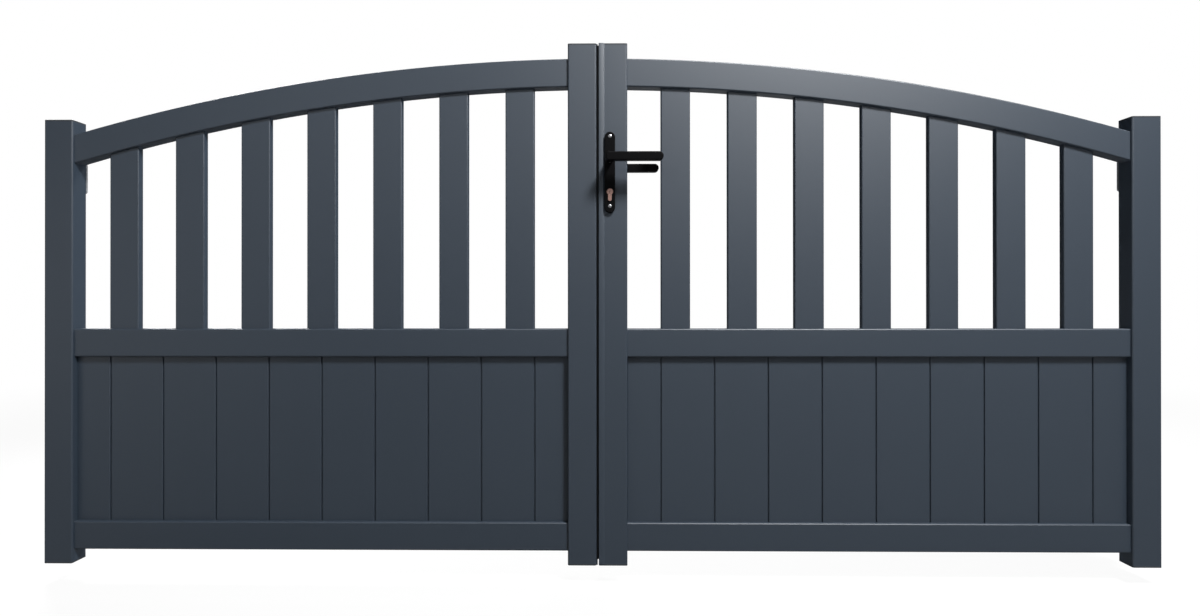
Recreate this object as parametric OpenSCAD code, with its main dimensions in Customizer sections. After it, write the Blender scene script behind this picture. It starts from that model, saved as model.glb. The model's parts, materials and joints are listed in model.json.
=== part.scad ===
// Double swing gate: two arched aluminium leaves with slats over a boarded lower panel.
// The front, seen from the street, faces -Y. The leaves open towards +Y.
// Origin: middle of the gap between the leaves, middle of the stile depth, underside of the stiles.

/* [Gate] */
// Width of one leaf over its two stiles
leaf_w = 1495; // [1350:5:1600]
// Gap between the two meeting stiles
leaf_gap = 6; // [6:0.5:8]
// Height of the outer stiles
side_h = 1200; // [1150:5:1260]
// Height of the meeting stiles
centre_h = 1400; // [1340:5:1480]
// Drop from the top of each stile to the top of the arched rail beside it
arch_drop = 38; // [20:1:60]
// Height of the bottom rail's underside above the foot of the stiles
foot_h = 36; // [25:1:60]
// Height of the mid rail's underside above the foot of the stiles
mid_rail_z = 558; // [500:2:640]

/* [Stiles] */
// Width of a stile seen from the front
stile_w = 77; // [74:1:90]
// Depth of a stile
stile_d = 50; // [46:1:56]
// Outer corner radius of a stile
stile_r = 4.5; // [2:0.5:6]
// Wall thickness of a stile
stile_t = 2; // [1.5:0.1:3]
// Thickness of the plate of a stile cap
cap_t = 4; // [3:0.5:6]
// Length of the plug of a stile cap inside the stile
cap_plug = 14; // [8:1:25]

/* [Rails] */
// Height of a rail seen from the front
rail_h = 76; // [70:1:90]
// Depth of a rail
rail_d = 36; // [34:1:40]
// Outer corner radius of a rail
rail_r = 4; // [1.5:0.5:5]
// Wall thickness of a rail
rail_t = 2; // [1.5:0.1:3]
// Length of the connector block inside each rail end
connector_l = 46; // [30:1:60]

/* [Slats] */
// Width of a slat
slat_w = 79; // [60:1:90]
// Thickness of a slat
slat_d = 20; // [14:1:22]
// Outer corner radius of a slat
slat_r = 3.5; // [1:0.5:5]
// Wall thickness of a slat
slat_t = 1.5; // [1:0.1:2.5]
// Space between a stile and the outermost slat
slat_end = 91; // [60:1:110]
// Depth of a slat's end inside a rail
slat_seat = 14; // [8:1:20]

/* [Boards] */
// Thickness of a tongue and groove board
board_t = 12; // [10:1:16]
// Wall thickness of a board
board_wall = 1.4; // [1:0.1:2]
// Width of the open joint line between two boards
joint_w = 3.5; // [2:0.5:6]
// Length of the tongue inside the next board
tongue_l = 5; // [3:0.5:8]
// Thickness of the tongue
tongue_t = 4; // [3:0.5:5]
// Depth of a board's end inside a rail
board_seat = 12; // [8:1:18]

/* [Hinges] */
// Height of the lower hinge above the foot, and drop of the upper one from the stile's top
hinge_inset = 150; // [110:5:200]
// Distance of the hinge axis behind the stile
hinge_back = 20; // [18:1:24]
// Distance of the hinge axis outside the leaf's edge
hinge_side = 2; // [1:0.5:6]
// Distance from the hinge axis to the face of the pillar
pillar_gap = 20; // [19:1:40]
// Outer radius of a hinge knuckle
knuckle_r = 12; // [11:0.5:13]
// Radius of the hinge pin
pin_r = 6; // [5:0.5:7]
// Height of the eye on the leaf
eye_h = 40; // [30:1:50]
// Height of each knuckle on the pillar bracket
knuckle_h = 25; // [15:1:30]
// Height of the pillar plate
bracket_h = 150; // [145:1:180]
// Width of the pillar plate
bracket_w = 58; // [54:1:60]
// Thickness of the pillar plate
bracket_t = 6; // [4:0.5:6]
// Spacing of the pillar bolts up the plate
pillar_bolt_z = 124; // [120:1:130]
// Spacing of the pillar bolts across the plate
pillar_bolt_y = 38; // [30:1:40]
// Radius of the pillar bolt holes
pillar_bolt_r = 4.5; // [3:0.5:5]

/* [Lock and handle] */
// Height of the lever's axis above the foot
lever_z = 1085; // [1040:5:1140]
// Distance from the face of the forend to the lever's axis
backset = 30; // [28:1:34]
// Distance from the lever's axis down to the middle of the cylinder's plug
cylinder_drop = 85; // [85:1:92]
// Width of a backplate
plate_w = 28; // [26:1:32]
// Height of a backplate
plate_h = 216; // [216:1:236]
// Thickness of a backplate
plate_t = 8; // [5:0.5:10]
// Height of the backplate's top above the lever's axis
plate_up = 76; // [66:1:76]
// Length of the lever from its axis to its tip
lever_l = 139; // [110:1:150]
// Height of the lever's bar
lever_h = 23; // [20:0.5:26]
// Thickness of the lever's bar
lever_t = 20; // [14:0.5:22]
// Distance from the stile to the middle of the lever's bar
lever_reach = 53; // [50:1:65]
// Radius of the lever's neck
neck_r = 8.5; // [7:0.5:10]
// Angle that the lever turns through
lever_turn = 40; // [30:1:40]
// Travel of the latch bolt
latch_travel = 12; // [10:0.5:12]
// Travel of the dead bolt
dead_travel = 18; // [14:1:20]

/* [Drop bolt] */
// Radius of the drop bolt's rod
rod_r = 8; // [6:0.5:9]
// Height of the foot of the rod when it is raised
rod_foot = 14; // [6:1:30]
// Height of the rod's handle when it is raised
rod_top = 455; // [420:5:500]
// Distance from the stile to the middle of the rod
rod_back = 22; // [19:1:26]
// Travel of the drop bolt
rod_travel = 60; // [40:5:60]

/* [Hidden] */
$fn = 64;
slat_count = 7;
board_count = 10;
corner_steps = 5;

// Clearances: pieces that plug together, shafts that turn, rods that slide, parts that pass
fit = 0.3;
turning = 0.05;
sliding = 0.1;
passing = 0.5;

// Lines of a leaf, measured from the middle of the gate
meet_x = leaf_gap / 2;
inner_x = meet_x + stile_w;
far_x = meet_x + leaf_w - stile_w;
edge_x = meet_x + leaf_w;
front_y = -stile_d / 2;
mid_top = mid_rail_z + rail_h;
foot_top = foot_h + rail_h;

// The arched rail's upper edge is one circle over both leaves
arch_low = side_h - arch_drop;
arch_high = centre_h - arch_drop;
arch_z = (arch_low + arch_high - (far_x * far_x - inner_x * inner_x) / (arch_high - arch_low)) / 2;
arch_r = sqrt(far_x * far_x + (arch_low - arch_z) * (arch_low - arch_z));
arch_in_r = arch_r - rail_h;
function arch_under(x) = arch_z + sqrt(arch_in_r * arch_in_r - x * x);

// The slats fill the space between the two end gaps, and the board joints start at the outer slats' edges
field_w = far_x - inner_x - 2 * slat_end;
slat_pitch = (field_w - slat_w) / (slat_count - 1);
function slat_x(i) = far_x - slat_end - slat_w / 2 - (i - 1) * slat_pitch;
board_pitch = field_w / (board_count - 2);
function joint_x(k) = inner_x + slat_end + k * board_pitch;
groove_w = board_t + 2 * fit;
groove_d = board_seat + passing;

// Hinges
hinge_x = edge_x + hinge_side;
hinge_y = stile_d / 2 + hinge_back;
pillar_x = hinge_x + pillar_gap;
hinge_levels = [hinge_inset, side_h - hinge_inset];
flange_t = 2;
flange_r = knuckle_r - 1;
bush_r = pin_r + 2;
knuckle_z = eye_h / 2 + flange_t + fit;
arm_w = 20;
strap_l = 70;
strap_h = 84;
strap_t = 5;
strap_bolt_r = 4;
strap_bolt_x = 46;
strap_bolt_z = 60;
strap_mid = edge_x - strap_l / 2 - 6;
bracket_mid_y = hinge_y - 17 + bracket_w / 2;
pin_head_r = 9;
pin_head_h = 4;
pin_tail = 6;

// Lock case, forend and keeper
lock_x = meet_x + backset;
cylinder_z = lever_z - cylinder_drop;
forend_w = 24;
forend_t = 3;
forend_h = 245;
forend_mid = lever_z - 32;
case_x = meet_x + forend_t;
case_w = 54;
case_d = 15;
case_up = 50;
case_down = 30;
case_h = case_up + cylinder_drop + case_down;
case_t = 1.5;
hub_r = 9;
collar_r = 11;
finger_r = latch_travel / sin(lever_turn) - 1.2;
finger_w = 5;
spindle_w = 8;

// Latch bolt and dead bolt
bolt_t = 11;
latch_h = 22;
latch_out = latch_travel - 1;
latch_body = latch_out + 15;
latch_z = lever_z + 22;
latch_tab_x = lock_x + finger_w / 2 + fit;
latch_tab_t = 4;
latch_tail_z = finger_r + 1.5;
dead_h = 20;
dead_l = dead_travel + 15;
dead_z = cylinder_z + 28;
keeper_t = 3;
keeper_h = 150;
keeper_mid = (latch_z + dead_z) / 2;

// Euro profile cylinder
cyl_r = 8.5;
cyl_tail_w = 10;
cyl_drop = 24.5;
cyl_proud = 2.5;
plug_r = 6.5;
cam_r = 13;
cam_t = 9.6;
cam_slot = 10.6;
cam_room = cam_r + 1;
cyl_end = stile_d / 2 + plate_t + cyl_proud;

// Backplate screws
plate_screw_r = 2.4;
plate_screw_head = 4.6;
screw_levels = [lever_z + plate_up - 12, lever_z + plate_up - plate_h + 17];

// Strip, seal and its carrier along the gap. The strip ends beside the backplate.
strip_w = backset - plate_w / 2 - fit;
strip_flat = strip_w - 4.6;
strip_t = 2.5;
carrier_w = 3.2;
carrier_d = 7.5;
carrier_y = front_y + stile_r + fit;
seal_tip = leaf_gap - 1.8;
seal_d = 3.6;
seal_foot = 16;
seal_head = 4;

// Drop bolt
rod_x = meet_x + stile_w / 2;
rod_y = stile_d / 2 + rod_back;
rod_bend = 16;
rod_arm = 52;
guide_h = 20;
guide_levels = [90, rod_top - rod_r - rod_travel - guide_h / 2 - 12];
guide_w = 28;
guide_plate = [54, 4, 50];

// Colours
anthracite = [0.24, 0.27, 0.31];
dark_trim = [0.10, 0.11, 0.12];
black = [0.05, 0.05, 0.06];
brass = [0.72, 0.50, 0.40];
bronze = [0.66, 0.50, 0.26];
steel = [0.72, 0.73, 0.75];
zinc = [0.60, 0.62, 0.64];

// Points of an arc about a centre
function arc(x, y, r, from, to, steps) = [
    for (i = [0 : steps])
        let (a = from + (to - from) * i / steps)
        [x + r * cos(a), y + r * sin(a)]
];

// Outline of a rectangle with round corners, centred
function round_rect(w, h, r, steps = corner_steps) = concat(
    arc(w / 2 - r, h / 2 - r, r, 0, 90, steps),
    arc(r - w / 2, h / 2 - r, r, 90, 180, steps),
    arc(r - w / 2, r - h / 2, r, 180, 270, steps),
    arc(w / 2 - r, r - h / 2, r, 270, 360, steps)
);

// Outline of a euro profile cylinder about its plug, grown by a clearance
function euro_outline(grow) =
    let (
        r = cyl_r + grow,
        half = cyl_tail_w / 2 + grow,
        low = cyl_tail_w / 2 - cyl_drop,
        meet = asin(half / r)
    )
    concat(
        arc(0, 0, r, meet - 90, 270 - meet, 24),
        arc(0, low, half, 180, 360, 12)
    );

// Places a piece on the right leaf, or its mirror image on the left leaf
module on_side(side) {
    if (side < 0)
        mirror([1, 0, 0]) children();
    else
        children();
}

// Draws a section in Y and Z and extrudes it along X
module along_x(from, to) {
    translate([from, 0, 0])
        rotate([90, 0, 90])
            linear_extrude(to - from) children();
}

// Draws a section in X and Z and extrudes it along Y
module along_y(from, to) {
    translate([0, to, 0])
        rotate([90, 0, 0])
            linear_extrude(to - from) children();
}

// A round bar or bore along Y
module round_y(r, from, to) {
    translate([0, to, 0])
        rotate([90, 0, 0])
            cylinder(r = r, h = to - from);
}

// A box given by its lowest and highest corners
module block(low, high) {
    translate(low) cube(high - low);
}

// Hollow rectangular extrusion with round corners
module tube_section(w, d, r, t) {
    difference() {
        polygon(round_rect(w, d, r));
        polygon(round_rect(w - 2 * t, d - 2 * t, max(r - t, 0.5), 2));
    }
}

// Stiles

module stile(x, h) {
    translate([x + stile_w / 2, 0, cap_t])
        linear_extrude(h - 2 * cap_t)
            tube_section(stile_w, stile_d, stile_r, stile_t);
}

module strap_bolt_places() {
    for (z = hinge_levels)
        for (dx = [-1, 1])
            for (dz = [-1, 1])
                translate([strap_mid + dx * strap_bolt_x / 2, stile_d / 2, z + dz * strap_bolt_z / 2])
                    children();
}

module outer_stile(side) {
    color(anthracite)
        on_side(side)
            difference() {
                stile(far_x, side_h);
                strap_bolt_places()
                    round_y(strap_bolt_r + fit, -2 * stile_t, 1);
            }
}

module left_meeting_stile() {
    color(anthracite)
        on_side(-1)
            difference() {
                stile(meet_x, centre_h);
                plate_recess(keeper_h, keeper_mid);
            }
}

module right_meeting_stile() {
    color(anthracite)
        difference() {
            stile(meet_x, centre_h);
            plate_recess(forend_h, forend_mid);
            translate([lock_x, 0, 0]) {
                translate([0, 0, lever_z])
                    round_y(hub_r + 1, -stile_d, stile_d);
                translate([0, 0, cylinder_z])
                    along_y(-stile_d, stile_d)
                        polygon(euro_outline(1));
                for (z = screw_levels)
                    translate([0, 0, z])
                        round_y(plate_screw_r + fit, -stile_d, stile_d);
            }
        }
}

// Opening in a stile's meeting face for the forend or the keeper
module plate_recess(h, mid) {
    half = forend_w / 2 + fit;
    block([meet_x - 1, -half, mid - h / 2 - fit], [meet_x + stile_t + 1, half, mid + h / 2 + fit]);
}

// Moulded cap with a hollow plug that goes into the stile
module stile_cap(x) {
    plug_w = stile_w - 2 * stile_t - 2 * fit;
    plug_d = stile_d - 2 * stile_t - 2 * fit;
    translate([x + stile_w / 2, 0, 0]) {
        linear_extrude(cap_t)
            polygon(round_rect(stile_w, stile_d, stile_r));
        translate([0, 0, cap_t - 1])
            linear_extrude(cap_plug + 1)
                tube_section(plug_w, plug_d, max(stile_r - stile_t, 1), 2);
    }
}

module stile_caps(side) {
    color(dark_trim)
        on_side(side) {
            stile_cap(meet_x);
            stile_cap(far_x);
            translate([0, 0, centre_h])
                mirror([0, 0, 1]) stile_cap(meet_x);
            translate([0, 0, side_h])
                mirror([0, 0, 1]) stile_cap(far_x);
        }
}

// Rails

// Space between the two stiles of a leaf
module between_stiles() {
    block([inner_x, -stile_d, 0], [far_x, stile_d, centre_h + rail_h]);
}

// Sweeps a section along the arch. In the section, X is the distance from the arch's centre.
module along_arch(from_x, to_x) {
    start_angle = acos(to_x / arch_in_r);
    end_angle = acos(from_x / arch_r);
    translate([0, 0, arch_z])
        rotate([90, 0, 0])
            rotate_extrude(start = start_angle, angle = end_angle - start_angle, $fn = 720)
                children();
}

module slat_cavity(i, low, high) {
    translate([slat_x(i), 0, low])
        linear_extrude(high - low)
            polygon(round_rect(slat_w + 2 * fit, slat_d + 2 * fit, slat_r + fit));
}

function slat_top(i) = arch_under(slat_x(i) - slat_w / 2) + slat_seat;

module arch_rail(side) {
    color(anthracite)
        on_side(side)
            difference() {
                intersection() {
                    along_arch(inner_x - stile_w / 2, far_x + stile_w / 2)
                        translate([arch_r - rail_h / 2, 0])
                            tube_section(rail_h, rail_d, rail_r, rail_t);
                    between_stiles();
                }
                for (i = [1 : slat_count])
                    slat_cavity(i, arch_under(slat_x(i) + slat_w / 2) - rail_h / 4, slat_top(i) + fit);
            }
}

// Straight rail's section with a groove for the boards along its lower side
module grooved_section() {
    difference() {
        polygon(round_rect(rail_d, rail_h, rail_r));
        difference() {
            polygon(round_rect(rail_d - 2 * rail_t, rail_h - 2 * rail_t, max(rail_r - rail_t, 0.5), 2));
            translate([0, -rail_h / 2])
                square([groove_w + 2 * rail_t, 2 * (groove_d + rail_t)], center = true);
        }
        translate([0, -rail_h / 2])
            square([groove_w, 2 * groove_d], center = true);
    }
}

module mid_rail(side) {
    color(anthracite)
        on_side(side)
            difference() {
                along_x(inner_x, far_x)
                    translate([0, mid_rail_z + rail_h / 2])
                        grooved_section();
                for (i = [1 : slat_count])
                    slat_cavity(i, mid_top - slat_seat - fit, mid_top + 1);
            }
}

module bottom_rail(side) {
    color(anthracite)
        on_side(side)
            along_x(inner_x, far_x)
                translate([0, foot_h + rail_h / 2])
                    mirror([0, 1])
                        grooved_section();
}

// Connector blocks, screwed to the stiles, that the rail ends slide over
module connector_section(h) {
    w = rail_d - 2 * rail_t - 2 * fit;
    difference() {
        polygon(round_rect(w, h, max(rail_r - rail_t, 0.5)));
        square([w - 14, h / 3], center = true);
    }
}

module rail_connectors(side) {
    block_h = rail_h - 2 * rail_t - 2 * fit;
    short_h = block_h - groove_d - rail_t;
    color(zinc)
        on_side(side) {
            for (ends = [[inner_x, inner_x + connector_l], [far_x - connector_l, far_x]]) {
                along_x(ends[0], ends[1])
                    translate([0, mid_top - rail_t - fit - short_h / 2])
                        connector_section(short_h);
                along_x(ends[0], ends[1])
                    translate([0, foot_h + rail_t + fit + short_h / 2])
                        connector_section(short_h);
                intersection() {
                    along_arch(ends[0], ends[1])
                        translate([arch_r - rail_h / 2, 0])
                            rotate(90) connector_section(block_h);
                    between_stiles();
                    block([ends[0], -stile_d, 0], [ends[1], stile_d, centre_h]);
                }
            }
        }
}

// Slats and boards

module slat(side, i) {
    low = mid_top - slat_seat;
    color(anthracite)
        on_side(side)
            translate([slat_x(i), 0, low])
                linear_extrude(slat_top(i) - low)
                    tube_section(slat_w, slat_d, slat_r, slat_t);
}

// Section of one hollow board that starts at x = 0
module board_section(w, socket, tongue) {
    edge = 1;
    half = board_t / 2;
    socket_d = socket ? tongue_l + fit + 1 : 0;
    web_count = w > board_pitch * 0.7 ? 3 : 2;
    hollow_from = socket_d + board_wall;
    hollow_w = w - board_wall - hollow_from;
    cell = (hollow_w - (web_count - 1) * board_wall) / web_count;
    difference() {
        union() {
            polygon([
                [edge, -half], [w - edge, -half], [w, edge - half], [w, half],
                [0, half], [0, edge - half]
            ]);
            if (tongue)
                translate([w - board_wall, -tongue_t / 2])
                    square([board_wall + joint_w + tongue_l, tongue_t]);
        }
        if (socket)
            translate([-1, -tongue_t / 2 - fit])
                square([socket_d + 1, tongue_t + 2 * fit]);
        for (c = [0 : web_count - 1])
            translate([hollow_from + c * (cell + board_wall), board_wall - half])
                square([cell, board_t - 2 * board_wall]);
    }
}

module boards(side) {
    low = foot_top - board_seat;
    high = mid_rail_z + board_seat;
    last = board_count - 1;
    color(anthracite)
        on_side(side)
            for (k = [0 : last]) {
                from = k == 0 ? inner_x + fit : joint_x(k - 1) + joint_w / 2;
                to = k == last ? far_x - fit : joint_x(k) - joint_w / 2;
                translate([from, 0, low])
                    linear_extrude(high - low)
                        board_section(to - from, k > 0, k < last);
            }
}

// Hinges

module bore_z(r, low, high) {
    translate([hinge_x, hinge_y, low])
        cylinder(r = r, h = high - low);
}

module pillar_brackets(side) {
    color(zinc)
        on_side(side)
            for (z = hinge_levels)
                translate([0, 0, z])
                    difference() {
                        union() {
                            along_x(pillar_x - bracket_t, pillar_x)
                                translate([bracket_mid_y, 0])
                                    polygon(round_rect(bracket_w, bracket_h, 6));
                            for (low = [knuckle_z, -knuckle_z - knuckle_h]) {
                                bore_z(knuckle_r, low, low + knuckle_h);
                                block(
                                    [hinge_x, hinge_y - arm_w / 2, low],
                                    [pillar_x - bracket_t / 2, hinge_y + arm_w / 2, low + knuckle_h]
                                );
                            }
                        }
                        bore_z(pin_r + turning / 2, -bracket_h, bracket_h);
                        for (dy = [-1, 1])
                            for (dz = [-1, 1])
                                translate([
                                    pillar_x - 2 * bracket_t,
                                    bracket_mid_y + dy * pillar_bolt_y / 2,
                                    dz * pillar_bolt_z / 2
                                ])
                                    rotate([0, 90, 0])
                                        cylinder(r = pillar_bolt_r, h = 3 * bracket_t);
                    }
}

module hinge_pins(side) {
    top = knuckle_z + knuckle_h;
    color(steel)
        on_side(side)
            for (z = hinge_levels)
                translate([0, 0, z])
                    difference() {
                        union() {
                            bore_z(pin_r, -top - pin_tail, top + 1);
                            bore_z(pin_head_r, top, top + pin_head_h);
                        }
                        // Groove for the retaining ring under the lower knuckle
                        difference() {
                            bore_z(pin_r + 1, -top - 2, -top - 0.8);
                            bore_z(pin_r - 1, -top - 3, -top);
                        }
                    }
}

module hinge_straps(side) {
    color(zinc)
        on_side(side)
            difference() {
                for (z = hinge_levels)
                    translate([0, 0, z])
                        difference() {
                            union() {
                                along_y(stile_d / 2, stile_d / 2 + strap_t)
                                    translate([strap_mid, 0])
                                        polygon(round_rect(strap_l, strap_h, 6));
                                block(
                                    [hinge_x - 2 * knuckle_r, stile_d / 2, -eye_h / 2],
                                    [hinge_x, hinge_y, eye_h / 2]
                                );
                                bore_z(knuckle_r, -eye_h / 2, eye_h / 2);
                            }
                            bore_z(bush_r, -eye_h, eye_h);
                        }
                strap_bolt_places()
                    round_y(strap_bolt_r + fit, -1, strap_t + 1);
            }
}

// Two flanged bushes in each eye. The flanges keep the leaf off the bracket's knuckles.
module hinge_bushes(side) {
    color(bronze)
        on_side(side)
            for (z = hinge_levels)
                for (up = [0, 1])
                    translate([0, 0, z])
                        mirror([0, 0, up])
                            difference() {
                                union() {
                                    bore_z(bush_r - turning / 2, fit, eye_h / 2 + flange_t);
                                    bore_z(flange_r, eye_h / 2, eye_h / 2 + flange_t);
                                }
                                bore_z(pin_r + turning, -eye_h, eye_h);
                            }
}

module hinge_bolts(side) {
    head_r = 7;
    head_h = 4;
    color(steel)
        on_side(side)
            strap_bolt_places()
                union() {
                    round_y(strap_bolt_r, -stile_t - 8, strap_t + 1);
                    translate([0, strap_t, 0])
                        rotate([-90, 0, 0])
                            rotate_extrude()
                                polygon(concat(
                                    [[0, 0], [head_r, 0], [head_r, 1]],
                                    arc(head_r - 3, 1, 3, 0, 90, 4),
                                    [[0, head_h]]
                                ));
                }
}

// Handle

// Plate with half-round ends and a bevelled face. It lies against the front of the stile.
module backplate_blank() {
    bevel = 1.5;
    straight = plate_h - plate_w;
    r = plate_w / 2;
    mid = plate_up - plate_h / 2;
    face = front_y - plate_t;
    translate([lock_x, 0, lever_z + mid]) {
        translate([0, 0, -straight / 2])
            linear_extrude(straight)
                polygon([
                    [-r, front_y], [-r, face + bevel], [bevel - r, face],
                    [r - bevel, face], [r, face + bevel], [r, front_y]
                ]);
        for (end = [0, 1])
            mirror([0, 0, end])
                translate([0, front_y, straight / 2])
                    rotate([90, 0, 0])
                        rotate_extrude(angle = 180)
                            polygon([
                                [0, 0], [r, 0], [r, plate_t - bevel],
                                [r - bevel, plate_t], [0, plate_t]
                            ]);
    }
}

module backplate_holes() {
    translate([lock_x, 0, 0]) {
        translate([0, 0, lever_z])
            round_y(neck_r + fit, front_y - 2 * plate_t, front_y + 1);
        translate([0, 0, cylinder_z])
            along_y(front_y - 2 * plate_t, front_y + 1)
                polygon(euro_outline(fit));
        for (z = screw_levels)
            translate([0, 0, z])
                round_y(plate_screw_r + fit, front_y - 2 * plate_t, front_y + 1);
    }
}

module front_backplate() {
    color(black)
        difference() {
            backplate_blank();
            backplate_holes();
            // Countersinks for the two screws
            for (z = screw_levels)
                translate([lock_x, front_y - plate_t, z])
                    rotate([-90, 0, 0])
                        cylinder(r1 = plate_screw_head + fit, r2 = plate_screw_r + fit, h = 2.6);
        }
}

module rear_backplate() {
    color(black)
        mirror([0, 1, 0])
            difference() {
                backplate_blank();
                backplate_holes();
            }
}

// Countersunk screws through the stile, with cap nuts on the rear backplate
module backplate_screws() {
    nut_r = 5;
    nut_h = 3;
    rear = stile_d / 2 + plate_t;
    color(steel)
        for (z = screw_levels)
            translate([lock_x, 0, z]) {
                difference() {
                    union() {
                        round_y(plate_screw_r, -rear + 1, rear + 1);
                        translate([0, -rear, 0])
                            rotate([-90, 0, 0])
                                cylinder(r1 = plate_screw_head, r2 = plate_screw_r, h = 2.4);
                    }
                    block([-3.4, -rear - 1, -0.5], [3.4, -rear + 1, 0.5]);
                }
                round_y(nut_r, rear, rear + nut_h);
            }
}

// Outline of a lever's bar about its axis: a straight bar with a round tip
function lever_outline() =
    let (
        half = lever_h / 2,
        heel = neck_r + 2.5,
        heel_r = 8
    )
    concat(
        arc(lever_l - half, 0, half, -90, 90, 12),
        arc(heel_r - heel, half - heel_r, heel_r, 90, 180, 6),
        arc(heel_r - heel, heel_r - half, heel_r, 180, 270, 6)
    );

module lever_blank() {
    socket = spindle_w + 2 * turning;
    bar = front_y - lever_reach;
    color(black)
        translate([lock_x, 0, lever_z])
            difference() {
                union() {
                    along_y(bar - lever_t / 2, bar + lever_t / 2)
                        polygon(lever_outline());
                    round_y(neck_r, bar, front_y - 2);
                }
                block([-socket / 2, bar + lever_t, -socket / 2], [socket / 2, 0, socket / 2]);
            }
}

module front_lever() {
    lever_blank();
}

module rear_lever() {
    mirror([0, 1, 0]) lever_blank();
}

module lever_spindle() {
    reach = stile_d / 2 + lever_reach - lever_t - fit;
    half = spindle_w / 2;
    color(steel)
        translate([lock_x, 0, lever_z])
            block([-half, -reach, -half], [half, reach, half]);
}

// Lock

module lock_case() {
    low = lever_z + case_up - case_h;
    half = case_d / 2;
    color(zinc)
        difference() {
            block([case_x, -half, low], [case_x + case_w, half, lever_z + case_up]);
            block(
                [case_x - 1, case_t - half, low + case_t],
                [case_x + case_w - case_t, half - case_t, lever_z + case_up - case_t]
            );
            translate([lock_x, 0, lever_z])
                round_y(hub_r + sliding, -case_d, case_d);
            translate([lock_x, 0, cylinder_z])
                along_y(-case_d, case_d)
                    polygon(euro_outline(fit));
        }
}

// Rectangular opening through the forend and the keeper for a bolt of height h
module bolt_opening(z, h) {
    half_w = bolt_t / 2 + passing;
    half_h = h / 2 + passing;
    block([-stile_w, -half_w, z - half_h], [stile_w, half_w, z + half_h]);
}

module lock_forend() {
    color(steel)
        difference() {
            block(
                [meet_x, -forend_w / 2, forend_mid - forend_h / 2],
                [meet_x + forend_t, forend_w / 2, forend_mid + forend_h / 2]
            );
            bolt_opening(latch_z, latch_h);
            bolt_opening(dead_z, dead_h);
        }
}

module keeper_plate() {
    color(steel)
        difference() {
            block(
                [-meet_x - keeper_t, -forend_w / 2, keeper_mid - keeper_h / 2],
                [-meet_x, forend_w / 2, keeper_mid + keeper_h / 2]
            );
            bolt_opening(latch_z, latch_h);
            bolt_opening(dead_z, dead_h);
        }
}

// Hub that the spindle turns, with the finger that draws the latch back
module lock_follower() {
    inside = case_d / 2 - case_t - fit;
    socket = spindle_w + 2 * turning;
    color(zinc)
        translate([lock_x, 0, lever_z])
            difference() {
                union() {
                    round_y(hub_r, -case_d / 2 - fit, case_d / 2 + fit);
                    round_y(collar_r, -inside, inside);
                    block([-finger_w / 2, -inside, 0], [finger_w / 2, inside, finger_r]);
                }
                block([-socket / 2, -case_d, -socket / 2], [socket / 2, case_d, socket / 2]);
            }
}

module latch_bolt() {
    nose = meet_x - latch_out;
    shoulder = nose + latch_body;
    half = bolt_t / 2;
    tab_end = latch_tab_x + latch_tab_t;
    color(steel) {
        translate([0, 0, latch_z - latch_h / 2])
            linear_extrude(latch_h)
                polygon([
                    [shoulder, half], [nose, half], [nose, half - 4],
                    [nose + 9, -half], [shoulder, -half]
                ]);
        block(
            [shoulder - 2, -3, lever_z + latch_tail_z],
            [tab_end, 3, latch_z + latch_h / 2 - 5]
        );
        block(
            [latch_tab_x, -3, lever_z + collar_r + 1],
            [tab_end, 3, lever_z + latch_tail_z + 1]
        );
    }
}

module dead_bolt() {
    half = bolt_t / 2;
    start = meet_x + fit;
    color(steel)
        block([start, -half, dead_z - dead_h / 2], [start + dead_l, half, dead_z + dead_h / 2]);
}

module cylinder_body() {
    color(brass)
        translate([lock_x, 0, cylinder_z])
            difference() {
                along_y(-cyl_end, cyl_end)
                    polygon(euro_outline(0));
                round_y(plug_r + turning, -2 * cyl_end, 2 * cyl_end);
                block([-2 * cyl_r, -cam_slot / 2, -cam_room], [2 * cyl_r, cam_slot / 2, 2 * cyl_r]);
            }
}

// Turning plug with a keyway at both ends and the cam in the middle
module cylinder_plug() {
    way = 1.6;
    color(bronze)
        translate([lock_x, 0, cylinder_z])
            difference() {
                union() {
                    round_y(plug_r, -cyl_end - 0.2, cyl_end + 0.2);
                    round_y(plug_r + 1.5, -cam_t / 2, cam_t / 2);
                    block([-3.5, -cam_t / 2, 0], [3.5, cam_t / 2, cam_r]);
                }
                for (end = [0, 1])
                    mirror([0, end, 0])
                        block([-way / 2, -2 * cyl_end, -4], [way / 2, -cyl_end + 12, 4]);
            }
}

// Trim along the gap

module meeting_strip() {
    color(anthracite)
        translate([meet_x, front_y, cap_t])
            linear_extrude(centre_h - cap_t)
                polygon([
                    [0, 0], [0, 0.8 - strip_t], [0.8, -strip_t],
                    [strip_flat, -strip_t], [strip_w, 0]
                ]);
}

module seal_carrier() {
    color(anthracite)
        block([-meet_x, carrier_y, 0], [-meet_x + carrier_w, carrier_y + carrier_d, centre_h]);
}

// Rubber lip in front of its carrier. It stays clear of the other stile as the leaves swing.
module gap_seal() {
    lip = 1.2;
    color(black)
        translate([-meet_x, carrier_y, seal_foot])
            linear_extrude(centre_h - seal_head - seal_foot)
                polygon([
                    [0.4, 0], [0.4, -seal_d], [seal_tip - lip, -seal_d],
                    [seal_tip, -seal_d / 2], [seal_tip - lip, 0]
                ]);
}

// Drop bolt on the back of the left meeting stile

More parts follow.
